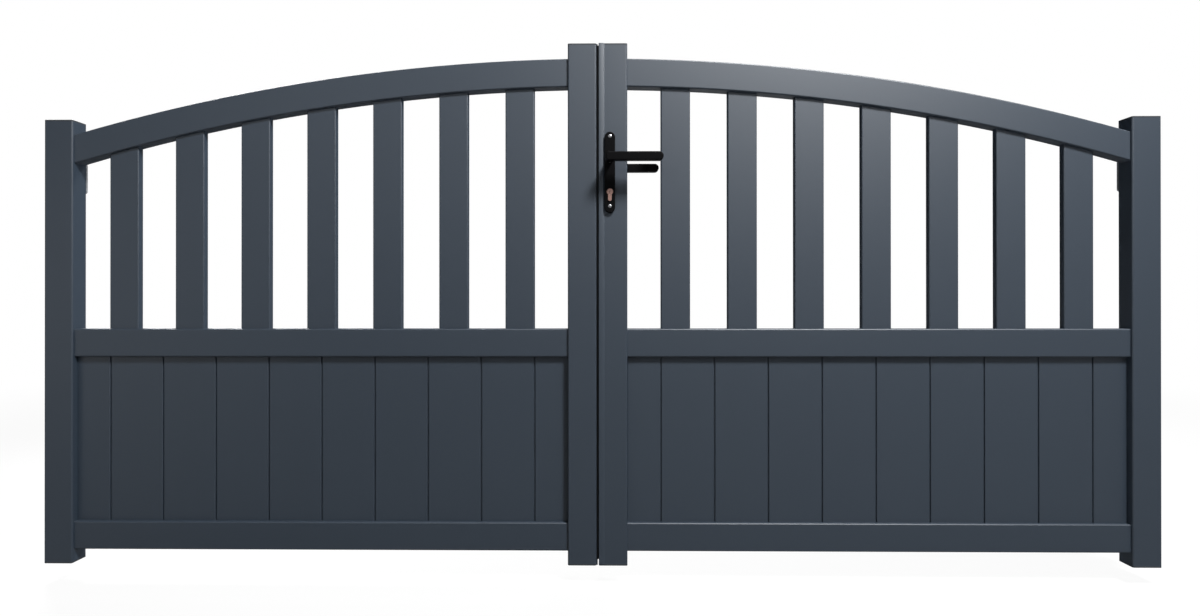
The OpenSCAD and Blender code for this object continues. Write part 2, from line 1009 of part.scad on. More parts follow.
module drop_bolt_rod() {
    color(zinc)
        translate([-rod_x, rod_y, 0]) {
            translate([0, 0, rod_foot + 3])
                cylinder(r = rod_r, h = rod_top - rod_bend - rod_foot - 3);
            translate([0, 0, rod_foot])
                cylinder(r1 = rod_r - 2, r2 = rod_r, h = 3);
            // Bend and handle, turned towards the slats
            translate([-rod_bend, 0, rod_top - rod_bend])
                rotate([90, 0, 0])
                    rotate_extrude(angle = 90)
                        translate([rod_bend, 0])
                            circle(r = rod_r);
            translate([-rod_bend, 0, rod_top])
                rotate([0, -90, 0])
                    cylinder(r = rod_r, h = rod_arm);
        }
}

module drop_bolt_guides() {
    top = rod_y + rod_r + 5;
    color(zinc)
        for (z = guide_levels)
            translate([-rod_x, 0, z])
                difference() {
                    union() {
                        translate([-guide_plate[0] / 2, stile_d / 2, -guide_plate[2] / 2])
                            cube(guide_plate);
                        block(
                            [-guide_w / 2, stile_d / 2 + 1, -guide_h / 2],
                            [guide_w / 2, top, guide_h / 2]
                        );
                    }
                    translate([0, rod_y, -guide_plate[2]])
                        cylinder(r = rod_r + sliding, h = 2 * guide_plate[2]);
                    for (dx = [-1, 1])
                        for (dz = [-1, 1])
                            translate([dx * (guide_plate[0] / 2 - 6), 0, dz * (guide_plate[2] / 2 - 7)])
                                round_y(2.7, stile_d / 2 - 1, stile_d / 2 + guide_plate[1] + 1);
                }
}

outer_stile(-1);  // left_outer_stile
left_meeting_stile();
arch_rail(-1);  // left_arch_rail
mid_rail(-1);  // left_mid_rail
bottom_rail(-1);  // left_bottom_rail
slat(-1, 1);  // left_slat_1
slat(-1, 2);  // left_slat_2
slat(-1, 3);  // left_slat_3
slat(-1, 4);  // left_slat_4
slat(-1, 5);  // left_slat_5
slat(-1, 6);  // left_slat_6
slat(-1, 7);  // left_slat_7
boards(-1);  // left_boards
stile_caps(-1);  // left_stile_caps
rail_connectors(-1);  // left_rail_connectors
hinge_straps(-1);  // left_hinge_straps
hinge_bushes(-1);  // left_hinge_bushes
hinge_bolts(-1);  // left_hinge_bolts
outer_stile(1);  // right_outer_stile
right_meeting_stile();
arch_rail(1);  // right_arch_rail
mid_rail(1);  // right_mid_rail
bottom_rail(1);  // right_bottom_rail
slat(1, 1);  // right_slat_1
slat(1, 2);  // right_slat_2
slat(1, 3);  // right_slat_3
slat(1, 4);  // right_slat_4
slat(1, 5);  // right_slat_5
slat(1, 6);  // right_slat_6
slat(1, 7);  // right_slat_7
boards(1);  // right_boards
stile_caps(1);  // right_stile_caps
rail_connectors(1);  // right_rail_connectors
hinge_straps(1);  // right_hinge_straps
hinge_bushes(1);  // right_hinge_bushes
hinge_bolts(1);  // right_hinge_bolts
pillar_brackets(-1);  // left_pillar_brackets
hinge_pins(-1);  // left_hinge_pins
pillar_brackets(1);  // right_pillar_brackets
hinge_pins(1);  // right_hinge_pins
front_backplate();
rear_backplate();
backplate_screws();
front_lever();
rear_lever();
lever_spindle();
lock_case();
lock_forend();
lock_follower();
latch_bolt();
dead_bolt();
cylinder_body();
cylinder_plug();
keeper_plate();
meeting_strip();
seal_carrier();
gap_seal();
drop_bolt_rod();
drop_bolt_guides();
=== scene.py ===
"""Looks of a double swing gate: powder coated leaves, black lever set, lock, hinges and drop bolt.

Lengths are in metres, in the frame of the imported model: +X to the right seen from the street,
+Y into the property, +Z up, and the origin in the middle of the gap at the foot of the stiles.
"""

import json
import math

import bmesh
import bpy
from mathutils import Matrix, Vector

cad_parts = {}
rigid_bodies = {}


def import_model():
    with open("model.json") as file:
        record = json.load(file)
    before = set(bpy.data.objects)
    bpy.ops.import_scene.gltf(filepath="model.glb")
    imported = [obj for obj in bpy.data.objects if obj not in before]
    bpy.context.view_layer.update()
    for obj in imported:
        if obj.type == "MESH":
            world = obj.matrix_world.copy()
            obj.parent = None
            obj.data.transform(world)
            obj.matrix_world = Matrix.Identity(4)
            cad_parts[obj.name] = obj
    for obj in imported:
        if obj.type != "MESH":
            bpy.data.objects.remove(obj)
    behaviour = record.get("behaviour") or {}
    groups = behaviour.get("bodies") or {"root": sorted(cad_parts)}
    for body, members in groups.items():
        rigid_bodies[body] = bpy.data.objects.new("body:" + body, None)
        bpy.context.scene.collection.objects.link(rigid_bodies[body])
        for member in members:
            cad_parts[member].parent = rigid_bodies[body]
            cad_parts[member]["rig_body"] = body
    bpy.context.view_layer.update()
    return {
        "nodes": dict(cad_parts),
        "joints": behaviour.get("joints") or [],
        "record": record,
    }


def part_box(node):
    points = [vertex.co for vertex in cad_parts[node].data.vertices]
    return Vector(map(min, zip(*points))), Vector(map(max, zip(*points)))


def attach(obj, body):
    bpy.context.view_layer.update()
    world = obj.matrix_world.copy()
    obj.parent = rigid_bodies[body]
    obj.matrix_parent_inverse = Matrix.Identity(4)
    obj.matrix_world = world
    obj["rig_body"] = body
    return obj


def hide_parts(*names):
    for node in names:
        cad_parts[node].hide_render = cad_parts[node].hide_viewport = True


bl_info = {
    "name": "Double swing gate",
    "version": (1, 0, 0),
    "blender": (4, 5, 0),
    "location": "View3D > Sidebar > Gate",
    "description": "Dresses the leaves, lock, lever set and hinges of a double swing gate",
    "category": "Object",
}

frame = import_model()
NODES = frame["nodes"]
JOINTS = {joint["name"]: joint for joint in frame["joints"]}
SLOTS = {part["node"]: part["material_slot"] for part in frame["record"]["subparts"]}
SIDES = ("left", "right")
REPLACED = ("backplate_screws", "left_hinge_bolts", "right_hinge_bolts")

# Sizes that the pieces share
MM = 0.001
WELD_GAP = 0.01 * MM
CREASE = math.radians(35)
FIT = 0.3 * MM
HEXAGON = 6
NECK_RADIUS = 8.5 * MM
BAR_THICKNESS = 20 * MM
SCREW_HEAD = 4.6 * MM
STRAP_THICKNESS = 5 * MM
BRACKET_THICKNESS = 6 * MM
EYE_HEIGHT = 40 * MM
KNUCKLE_HEIGHT = 25 * MM
KNUCKLE_GAP = 2.3 * MM
HINGE_TOP = 51.3 * MM
WELD_RADIUS = 2 * MM

# Floor, and how much of the white background glossy rays show
GROUND_SIZE = 30.0
PALE_GROUND = 0.8
BOUNCE_GROUND = 0.42
SHADOW_SHARE = 0.1
SHADOW_REACH = (2.5, 7.0)
GLOSSY_SIDE = (0.14, 0.99, 0.0)
GLOSSY_CONE = (0.95, 1.0)
GLOSSY_WHITE = 0.3

# Lamps: name, place, target and size in metres, and the power of the weak ones in watts
KEY = ("key", (1.76, -2.18, 4.28), (0.1, 0.0, 1.0), 0.84)
BACK = ("back", (1.6, 2.0, 5.5), (0.0, 0.0, 0.9), 1.5)
FILLS = (
    ("upper_right", (1.6, -1.6, 2.2), (0.6, 0.0, 1.2), 0.8, 5.3),
    ("left", (-3.2, -2.2, 0.8), (-1.0, 0.0, 0.7), 1.5, 6.0),
    ("right", (3.2, -2.2, 0.8), (1.0, 0.0, 0.7), 1.5, 2.5),
    ("over_camera", (0.0, -3.2, 2.6), (0.0, 0.0, 0.8), 1.5, 6.0),
    ("upper_left", (-2.0, -2.8, 2.2), (-0.8, 0.0, 0.8), 1.2, 6.6),
)
BACK_FILL = ("back_fill", (1.5, 4.0, 1.5), (0.3, 0.0, 0.7), 1.5)
BACK_FILL_POWER = 130.0
BACK_LEFT = ("back_left", (-3.2, 2.4, 4.2), (-1.6, 0.9, 0.7), 1.2)
BACK_LEFT_POWER = 28.0
BACK_LEFT_SPREAD = math.radians(50)
LENS_SHIFT = (0.00233, -0.006)


# Settings that a user would change


class CoatSettings(bpy.types.PropertyGroup):
    """Powder coat of the leaves."""

    colour: bpy.props.FloatVectorProperty(
        name="Colour", description="Anthracite of the powder coat", subtype="COLOR",
        size=3, min=0.0, max=1.0, default=(0.0235, 0.037, 0.056),
    )
    roughness: bpy.props.FloatProperty(
        name="Roughness", description="Satin of the coat", min=0.1, max=1.0, default=0.5,
    )
    shine: bpy.props.FloatProperty(
        name="Shine", description="Specular level of the coat", min=0.0, max=1.0, default=1.0,
    )
    grain: bpy.props.FloatProperty(
        name="Grain", description="Width of one ripple of the coat", unit="LENGTH",
        subtype="DISTANCE", min=0.0002, max=0.01, default=0.0012,
    )
    depth: bpy.props.FloatProperty(
        name="Depth", description="Height of the ripples", unit="LENGTH", subtype="DISTANCE",
        min=0.0, max=0.001, default=0.00002,
    )
    clouding: bpy.props.FloatProperty(
        name="Clouding", description="Share by which the tone drifts over a leaf", min=0.0, max=0.3,
        default=0.05,
    )
    cap_colour: bpy.props.FloatVectorProperty(
        name="Cap colour", description="Moulded plastic of the stile caps", subtype="COLOR",
        size=3, min=0.0, max=1.0, default=(0.044, 0.050, 0.058),
    )
    cap_edge: bpy.props.FloatProperty(
        name="Cap edge", description="Rounding of the caps' edges", unit="LENGTH",
        subtype="DISTANCE", min=0.0002, max=0.0015, default=0.001,
    )


class HandleSettings(bpy.types.PropertyGroup):
    """Lever set and its backplates."""

    colour: bpy.props.FloatVectorProperty(
        name="Colour", description="Black coat of the levers and backplates", subtype="COLOR",
        size=3, min=0.0, max=1.0, default=(0.0035, 0.0035, 0.004),
    )
    roughness: bpy.props.FloatProperty(
        name="Roughness", description="Satin of the black coat", min=0.1, max=1.0, default=0.42,
    )
    shine: bpy.props.FloatProperty(
        name="Shine", description="Specular level of the black coat", min=0.0, max=1.0,
        default=0.08,
    )
    lever_edge: bpy.props.FloatProperty(
        name="Lever edge", description="Rounding of the lever's edges", unit="LENGTH",
        subtype="DISTANCE", min=0.0005, max=0.006, default=0.003,
    )
    plate_edge: bpy.props.FloatProperty(
        name="Plate edge", description="Rounding of the backplates' edges", unit="LENGTH",
        subtype="DISTANCE", min=0.0005, max=0.003, default=0.0016,
    )
    neck_fillet: bpy.props.FloatProperty(
        name="Neck fillet", description="Fillet between a lever's neck and its bar", unit="LENGTH",
        subtype="DISTANCE", min=0.0005, max=0.003, default=0.0015,
    )


class MetalSettings(bpy.types.PropertyGroup):
    """Bare and plated metals and the rubber seal."""

    steel: bpy.props.FloatVectorProperty(
        name="Stainless steel", description="Forend, keeper, bolts, pins and screws",
        subtype="COLOR", size=3, min=0.0, max=1.0, default=(0.55, 0.56, 0.58),
    )
    zinc: bpy.props.FloatVectorProperty(
        name="Zinc", description="Hinges, drop bolt and lock case", subtype="COLOR",
        size=3, min=0.0, max=1.0, default=(0.42, 0.44, 0.46),
    )
    bronze: bpy.props.FloatVectorProperty(
        name="Bronze", description="Bushes of the hinges", subtype="COLOR",
        size=3, min=0.0, max=1.0, default=(0.45, 0.27, 0.09),
    )
    brass: bpy.props.FloatVectorProperty(
        name="Cylinder brass", description="Coppery brass of the lock cylinder", subtype="COLOR",
        size=3, min=0.0, max=1.0, default=(0.50, 0.31, 0.265),
    )
    rubber: bpy.props.FloatVectorProperty(
        name="Rubber", description="Seal in the gap", subtype="COLOR",
        size=3, min=0.0, max=1.0, default=(0.006, 0.006, 0.007),
    )
    edge: bpy.props.FloatProperty(
        name="Broken edge", description="Rounding of the hardware's edges", unit="LENGTH",
        subtype="DISTANCE", min=0.0001, max=0.002, default=0.0007,
    )


class StageSettings(bpy.types.PropertyGroup):
    """Floor, light and camera."""

    floor_z: bpy.props.FloatProperty(
        name="Floor", description="Height of the ground under the gate", unit="LENGTH",
        subtype="DISTANCE", min=-0.2, max=0.0, default=-0.05,
    )
    camera_place: bpy.props.FloatVectorProperty(
        name="Camera place", description="Eye point of the camera", unit="LENGTH",
        subtype="TRANSLATION", size=3, default=(0.0188, -1.7883, 0.7065),
    )
    camera_turn: bpy.props.FloatVectorProperty(
        name="Camera turn", description="Tilt, roll and turn of the camera", unit="ROTATION",
        subtype="EULER", size=3, default=(math.pi / 2 + 0.00162, 0.00035, 0.01122),
    )
    focal: bpy.props.FloatProperty(
        name="Focal length", description="Focal length on a 36 mm sensor, in millimetres",
        min=10.0, max=100.0, default=19.74,
    )
    key_power: bpy.props.FloatProperty(
        name="Key", description="Power of the soft box at the upper right, in watts", min=0.0,
        max=1000.0, default=315.0,
    )
    back_power: bpy.props.FloatProperty(
        name="Back", description="Power of the soft box behind the gate, in watts", min=0.0,
        max=1000.0, default=150.0,
    )
    fill: bpy.props.FloatProperty(
        name="Fill", description="Level of the weak lamps in front of and behind the gate",
        min=0.0, max=5.0, default=0.92,
    )
    ambient: bpy.props.FloatProperty(
        name="Ambient", description="Strength of the light from all around", min=0.0, max=2.0,
        default=0.0,
    )


# Shader parts that several finishes share


def group_of(name, inputs, outputs):
    """A new shader node group with its sockets, and its input and output nodes."""
    group = bpy.data.node_groups.new(name, "ShaderNodeTree")
    for label, kind, value in inputs:
        socket = group.interface.new_socket(name=label, in_out="INPUT", socket_type=kind)
        if value is not None:
            socket.default_value = value
    for label, kind in outputs:
        group.interface.new_socket(name=label, in_out="OUTPUT", socket_type=kind)
    return group, group.nodes.new("NodeGroupInput"), group.nodes.new("NodeGroupOutput")


def math_node(tree, operation, first, second):
    """A Math node. Each operand is a socket or a number."""
    node = tree.nodes.new("ShaderNodeMath")
    node.operation = operation
    for socket, value in zip(node.inputs, (first, second)):
        if isinstance(value, (int, float)):
            socket.default_value = value
        else:
            tree.links.new(value, socket)
    return node.outputs[0]


def coat_grain_group():
    """Orange peel of a sprayed coat, and the slow drift of its tone."""
    group, into, out = group_of(
        "coat_grain",
        [("Vector", "NodeSocketVector", None), ("Grain", "NodeSocketFloat", 0.0012),
         ("Depth", "NodeSocketFloat", 0.00002), ("Clouding", "NodeSocketFloat", 0.05)],
        [("Height", "NodeSocketFloat"), ("Tone", "NodeSocketFloat")],
    )
    links = group.links
    peel = group.nodes.new("ShaderNodeTexNoise")
    peel.inputs["Detail"].default_value = 2.0
    links.new(into.outputs["Vector"], peel.inputs["Vector"])
    links.new(math_node(group, "DIVIDE", 1.0, into.outputs["Grain"]), peel.inputs["Scale"])
    ripple = math_node(group, "MULTIPLY", peel.outputs[0], into.outputs["Depth"])
    links.new(ripple, out.inputs["Height"])
    cloud = group.nodes.new("ShaderNodeTexNoise")
    cloud.inputs["Scale"].default_value = 4.0
    cloud.inputs["Detail"].default_value = 3.0
    links.new(into.outputs["Vector"], cloud.inputs["Vector"])
    drift = math_node(group, "SUBTRACT", cloud.outputs[0], 0.5)
    share = math_node(group, "MULTIPLY", drift, into.outputs["Clouding"])
    links.new(math_node(group, "ADD", share, 1.0), out.inputs["Tone"])
    return group


def brushed_group():
    """Fine lines of a brushed or ground metal along Z."""
    group, into, out = group_of(
        "brushed_lines",
        [("Vector", "NodeSocketVector", None), ("Depth", "NodeSocketFloat", 0.000004)],
        [("Height", "NodeSocketFloat"), ("Streak", "NodeSocketFloat")],
    )
    stretch = group.nodes.new("ShaderNodeVectorMath")
    stretch.operation = "MULTIPLY"
    stretch.inputs[1].default_value = (3000.0, 3000.0, 60.0)
    group.links.new(into.outputs["Vector"], stretch.inputs[0])
    lines = group.nodes.new("ShaderNodeTexNoise")
    lines.inputs["Scale"].default_value = 1.0
    lines.inputs["Detail"].default_value = 3.0
    group.links.new(stretch.outputs[0], lines.inputs["Vector"])
    scratch = math_node(group, "MULTIPLY", lines.outputs[0], into.outputs["Depth"])
    group.links.new(scratch, out.inputs["Height"])
    group.links.new(lines.outputs[0], out.inputs["Streak"])
    return group


def spangle_group():
    """Cloudy crystals of a zinc coat."""
    group, into, out = group_of(
        "zinc_spangle",
        [("Vector", "NodeSocketVector", None), ("Size", "NodeSocketFloat", 0.006)],
        [("Tone", "NodeSocketFloat"), ("Height", "NodeSocketFloat")],
    )
    cells = group.nodes.new("ShaderNodeTexVoronoi")
    group.links.new(into.outputs["Vector"], cells.inputs["Vector"])
    group.links.new(math_node(group, "DIVIDE", 1.0, into.outputs["Size"]), cells.inputs["Scale"])
    shade = group.nodes.new("ShaderNodeSeparateColor")
    group.links.new(cells.outputs["Color"], shade.inputs[0])
    group.links.new(shade.outputs[0], out.inputs["Tone"])
    pores = group.nodes.new("ShaderNodeTexNoise")
    pores.inputs["Scale"].default_value = 900.0
    group.links.new(into.outputs["Vector"], pores.inputs["Vector"])
    group.links.new(math_node(group, "MULTIPLY", pores.outputs[0], 0.00002), out.inputs["Height"])
    return group


class Finish:
    """A slot's material under construction: its Principled shader and its surface's coordinates."""

    def __init__(self, slot, colour, roughness, metallic=0.0, specular=0.5):
        self.material = bpy.data.materials.new(f"{slot}_finish")
        self.material.use_nodes = True
        self.tree = self.material.node_tree
        self.shader = self.tree.nodes["Principled BSDF"]
        self.colour = (*colour, 1.0)
        self.shader.inputs["Base Color"].default_value = self.colour
        self.shader.inputs["Roughness"].default_value = roughness
        self.shader.inputs["Metallic"].default_value = metallic
        self.shader.inputs["Specular IOR Level"].default_value = specular
        self.place = self.tree.nodes.new("ShaderNodeTexCoord").outputs["Object"]

    def group(self, tree, **values):
        """A shared group set to this material's own values."""
        node = self.tree.nodes.new("ShaderNodeGroup")
        node.node_tree = tree
        self.tree.links.new(self.place, node.inputs["Vector"])
        for label, value in values.items():
            node.inputs[label].default_value = value
        return node

    def tone(self, factor):
        """Multiplies the base colour by a factor that changes over the surface."""
        mix = self.tree.nodes.new("ShaderNodeVectorMath")
        mix.operation = "SCALE"
        mix.inputs[0].default_value = self.colour[:3]
        self.tree.links.new(factor, mix.inputs["Scale"])
        self.tree.links.new(mix.outputs[0], self.shader.inputs["Base Color"])

    def vary_roughness(self, mask, low, high):
        """Roughness that runs from low to high with a mask."""
        ramp = self.tree.nodes.new("ShaderNodeMapRange")
        ramp.inputs["To Min"].default_value = low
        ramp.inputs["To Max"].default_value = high
        self.tree.links.new(mask, ramp.inputs["Value"])
        self.tree.links.new(ramp.outputs[0], self.shader.inputs["Roughness"])

    def bump(self, height):
        """Feeds a height in metres to the shader's normal."""
        node = self.tree.nodes.new("ShaderNodeBump")
        node.inputs["Strength"].default_value = 1.0
        node.inputs["Distance"].default_value = 1.0
        self.tree.links.new(height, node.inputs["Height"])
        self.tree.links.new(node.outputs[0], self.shader.inputs["Normal"])

    def grain(self, groups, width, depth, clouding):
        """Orange peel of a width and depth, and a tone that drifts by the share of clouding."""
        peel = self.group(groups["grain"], Grain=width, Depth=depth, Clouding=clouding)
        self.tone(peel.outputs["Tone"])
        self.bump(peel.outputs["Height"])


# Finishes


def powder_coat(groups, coat):
    """Satin powder coat with a fine orange peel."""
    finish = Finish("powder_coat", coat.colour, coat.roughness, specular=coat.shine)
    finish.grain(groups, coat.grain, coat.depth, coat.clouding)


def cap_plastic(groups, coat):
    """Moulded plastic with a fine spark eroded texture."""
    finish = Finish("cap_plastic", coat.cap_colour, 0.55, specular=0.4)
    finish.grain(groups, 0.0005, 0.00003, 0.06)


def black_coat(groups, handle):
    """Black powder coat of the lever set."""
    finish = Finish("black_coat", handle.colour, handle.roughness, specular=handle.shine)
    finish.grain(groups, 0.0009, 0.00001, 0.1)


def ground_steel(groups, metals):
    """Stainless steel with fine grinding lines."""
    finish = Finish("stainless", metals.steel, 0.3, metallic=0.85)
    lines = finish.group(groups["brushed"], Depth=0.000004)
    finish.vary_roughness(lines.outputs["Streak"], 0.22, 0.42)
    finish.bump(lines.outputs["Height"])


def zinc_steel(groups, metals):
    """Galvanised steel with dull and bright crystals."""
    finish = Finish("zinc_steel", metals.zinc, 0.45, metallic=0.55)
    spangle = finish.group(groups["spangle"], Size=0.005)
    shade = math_node(finish.tree, "MULTIPLY_ADD", spangle.outputs["Tone"], 0.22)
    shade.node.inputs[2].default_value = 0.89
    finish.tone(shade)
    finish.vary_roughness(spangle.outputs["Tone"], 0.38, 0.56)
    finish.bump(spangle.outputs["Height"])


def turned_metal(groups, slot, colour, roughness, metallic=1.0):
    """Turned bronze or brass with a little tarnish."""
    finish = Finish(slot, colour, roughness, metallic=metallic)
    finish.grain(groups, 0.002, 0.000004, 0.35)


def seal_rubber(groups, metals):
    """Dull black rubber."""
    finish = Finish("rubber", metals.rubber, 0.7, specular=0.35)
    finish.grain(groups, 0.0006, 0.00003, 0.1)


def material_of(slot):
    """The finish that the mixing operator made for a slot of the record."""
    return bpy.data.materials[f"{slot}_finish"]


# Helpers for meshes


def smooth_cad(node, edge=0.0):
    """Gives a carried-over node its finish, welded and smooth, its sharp edges rounded by edge."""
    obj = NODES[node]
    mesh = obj.data
    for name in ("custom_normal", "sharp_edge", "sharp_face"):
        if name in mesh.attributes:
            mesh.attributes.remove(mesh.attributes[name])
    mesh.polygons.foreach_set("use_smooth", [True] * len(mesh.polygons))
    weld = obj.modifiers.new("weld", "WELD")
    weld.merge_threshold = WELD_GAP
    if edge:
        flat = obj.modifiers.new("flat_faces", "DECIMATE")
        flat.decimate_type = "DISSOLVE"
        flat.angle_limit = math.radians(1)
        bevel = obj.modifiers.new("broken_edge", "BEVEL")
        bevel.width = edge
        bevel.segments = 2
        bevel.limit_method = "ANGLE"
        bevel.angle_limit = math.radians(40)
    split = obj.modifiers.new("crease", "EDGE_SPLIT")
    split.split_angle = CREASE
    obj.modifiers.new("shading", "WEIGHTED_NORMAL")
    mesh.materials.clear()
    mesh.materials.append(material_of(SLOTS[node]))


def solids_of(node):
    """Lowest and highest corner of each separate solid of a node, from left to right and up."""
    bm = bmesh.new()
    bm.from_mesh(NODES[node].data)
    bmesh.ops.remove_doubles(bm, verts=bm.verts, dist=WELD_GAP)
    left = set(bm.verts)
    solids = []
    while left:
        reached = [left.pop()]
        for vert in reached:
            for edge in vert.link_edges:
                other = edge.other_vert(vert)
                if other in left:
                    left.remove(other)
                    reached.append(other)
        places = [vert.co for vert in reached]
        low = Vector([min(place[i] for place in places) for i in range(3)])
        high = Vector([max(place[i] for place in places) for i in range(3)])
        solids.append((low, high))
    bm.free()
    return sorted(solids, key=lambda solid: (round(solid[0].x, 4), solid[0].z))


def arc(centre, radius, start, stop, steps):
    """Points of an arc, angles in degrees."""
    points = []
    for i in range(steps + 1):
        angle = math.radians(start + (stop - start) * i / steps)
        points.append((centre[0] + radius * math.cos(angle), centre[1] + radius * math.sin(angle)))
    return points


def round_hole(x, y, radius, steps=48):
    """Outline of a round hole as a function of its growth."""
    return lambda grow: arc((x, y), radius + grow, 0, 360 - 360 / steps, steps - 1)


def new_piece(name, bm, slot, body, replaced=()):
    """Makes a piece of the gate from bm, with its finish, body and slot."""
    bmesh.ops.remove_doubles(bm, verts=bm.verts, dist=0.002 * MM)
    bmesh.ops.recalc_face_normals(bm, faces=bm.faces)
    for face in bm.faces:
        face.smooth = True
    for edge in bm.edges:
        edge.smooth = len(edge.link_faces) == 2 and edge.calc_face_angle(0.0) < CREASE
    mesh = bpy.data.meshes.new(name)
    bm.to_mesh(mesh)
    bm.free()
    mesh.materials.append(material_of(slot))
    piece = bpy.data.objects.new(name, mesh)
    bpy.context.scene.collection.objects.link(piece)
    shading = piece.modifiers.new("shading", "WEIGHTED_NORMAL")
    shading.keep_sharp = True
    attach(piece, body)
    if replaced:
        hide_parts(*replaced)


def ring(bm, points, height, place):
    """Adds a ring of vertices at a height over the plane of place."""
    return [bm.verts.new(place @ Vector((x, y, height))) for x, y in points]


def join_rings(bm, rings):
    """Adds the faces between rings. A ring of one vertex closes a tip."""
    for low, high in zip(rings, rings[1:]):
        steps = max(len(low), len(high))
        for i in range(steps):
            j = (i + 1) % steps
            under = (low[i % len(low)], low[j % len(low)])
            over = (high[j % len(high)], high[i % len(high)])
            corners = list(dict.fromkeys(under + over))
            if len(corners) > 2:
                bm.faces.new(corners)


def rounded_profile(low, high, edges, steps=5):
    """Pairs of inset and height up the rim of a plate whose two edges are rounded."""
    profile = []
    for sign, level, edge in ((1, low, edges[0]), (-1, high, edges[1])):
        if not edge:
            profile.append((0.0, level))
            continue
        turns = range(steps + 1) if sign > 0 else range(steps, -1, -1)
        for k in turns:
            angle = math.pi / 2 * k / steps
            height = level + sign * edge * (1 - math.cos(angle))
            profile.append((edge * (1 - math.sin(angle)), height))
    return profile


def slab(bm, rim, holes, levels, edges, hole_edge, place):
    """Adds a flat plate between two levels, with rounded rims and holes, to bm.

    The rim and the holes are outlines as functions of their growth.
    """
    ends = ([], [])
    for outline, sign, rounding in [(rim, -1, edges)] + [(hole, 1, hole_edge) for hole in holes]:
        rings = []
        for inset, height in rounded_profile(*levels, rounding):
            rings.append(ring(bm, outline(sign * inset), height, place))
        join_rings(bm, rings)
        ends[0].append(rings[0])
        ends[1].append(rings[-1])
    for loops in ends:
        outline_edges = []
        for loop in loops:
            outline_edges += [bm.edges.get((a, b)) for a, b in zip(loop, loop[1:] + loop[:1])]
        bmesh.ops.triangle_fill(bm, use_beauty=True, edges=outline_edges)


def lathe(bm, profile, place, steps=48):
    """Adds a turned form to bm.

    A point of the profile is (radius, height), or (radius, height, sides) for a polygon.
    """
    rings = []
    for radius, height, *sides in profile:
        if not radius:
            rings.append(ring(bm, [(0.0, 0.0)], height, place))
            continue
        points = []
        for i in range(steps):
            angle = math.tau * i / steps
            reach = radius
            if sides:
                wedge = math.tau / sides[0]
                reach = radius * math.cos(wedge / 2) / math.cos(angle % wedge - wedge / 2)
            points.append((reach * math.cos(angle), reach * math.sin(angle)))
        rings.append(ring(bm, points, height, place))
    join_rings(bm, rings)


def facing(x, y, z, rear=False):
    """Frame at a point: local Z points to the street, or to the back if rear, and local Y up."""
    sign = 1.0 if rear else -1.0
    return Matrix(((1, 0, 0, x), (0, 0, sign, y), (0, 1, 0, z), (0, 0, 0, 1)))


# Lever set


def stadium(width, height):
    """Outline of a plate with half-round ends, as a function of its growth."""
    half = height / 2 - width / 2

    def outline(grow):
        radius = width / 2 + grow
        return arc((0, half), radius, 0, 180, 24) + arc((0, -half), radius, 180, 360, 24)
    return outline


def lever_bar(length, height, heel):
    """Outline of a lever's bar about its axis, as a function of its growth."""
    heel_round = 8 * MM

    def outline(grow):
        half = height / 2
        corner = heel_round + grow
        tip = arc((length - half, 0), half + grow, -90, 90, 24)
        upper = arc((heel_round - heel, half - heel_round), corner, 90, 180, 10)
        lower = arc((heel_round - heel, heel_round - half), corner, 180, 270, 10)
        return tip + upper + lower
    return outline


def euro_opening(x, y, low):
    """Outline of the opening for a euro profile cylinder, as a function of its growth."""
    head = 8.8 * MM
    tail = 5.3 * MM
    foot = y - low

    def outline(grow):
        radius = head + grow
        half = tail + grow
        turn = math.degrees(math.acos(half / radius))
        over = arc((x, y), radius, -turn, 180 + turn, 32)
        return over + arc((x, foot + tail), half, 180, 360, 12)
    return outline


def backplate(name, node, body, rear):
    """Backplate with rounded edges and its openings for neck, cylinder and screws."""
    handle = bpy.context.scene.gate_handle
    low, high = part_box(node)
    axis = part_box("lever_spindle")
    middle = (low + high) / 2
    lever_z = (axis[0].z + axis[1].z) / 2
    plug_z = sum(corner.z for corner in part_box("cylinder_plug")) / 2
    seat = low.y if rear else high.y
    place = facing(middle.x, seat, middle.z, rear)
    thickness = high.y - low.y
    cylinder_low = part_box("cylinder_body")[0].z
    holes = [
        round_hole(0.0, lever_z - middle.z, NECK_RADIUS + FIT),
        euro_opening(0.0, plug_z - middle.z, plug_z - cylinder_low + FIT),
    ]
    for solid_low, solid_high in solids_of("backplate_screws"):
        level = (solid_low.z + solid_high.z) / 2 - middle.z
        holes.append(round_hole(0.0, level, SCREW_HEAD + 0.2 * MM))
    bm = bmesh.new()
    slab(bm, stadium(high.x - low.x, high.z - low.z), holes, (0.0, thickness),
         (0.0, handle.plate_edge), (0.0, 0.35 * MM), place)
    new_piece(name, bm, "black_coat", body, (node,))


def lever(name, node, rear):
    """Lever with a rounded bar on a round neck."""
    handle = bpy.context.scene.gate_handle
    low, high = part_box(node)
    axis = Vector(JOINTS["lever_turn"]["pos_m"])
    reach = high.y if rear else -low.y
    root = low.y if rear else -high.y
    inner = reach - BAR_THICKNESS
    place = facing(axis.x, 0.0, axis.z, rear)
    bar = lever_bar(high.x - axis.x, high.z - low.z, axis.x - low.x)
    edges = (handle.lever_edge, handle.lever_edge)
    fillet = handle.neck_fillet
    bm = bmesh.new()
    slab(bm, bar, [], (inner, reach), edges, None, place)
    flare = [
        (NECK_RADIUS + fillet - x, inner - fillet + y)
        for x, y in arc((0.0, 0.0), fillet, 0, 90, 5)
    ]
    lathe(bm, [(0.0, root), (NECK_RADIUS, root), *flare, (0.0, inner + MM)], place)
    new_piece(name, bm, "black_coat", "lever_set", (node,))


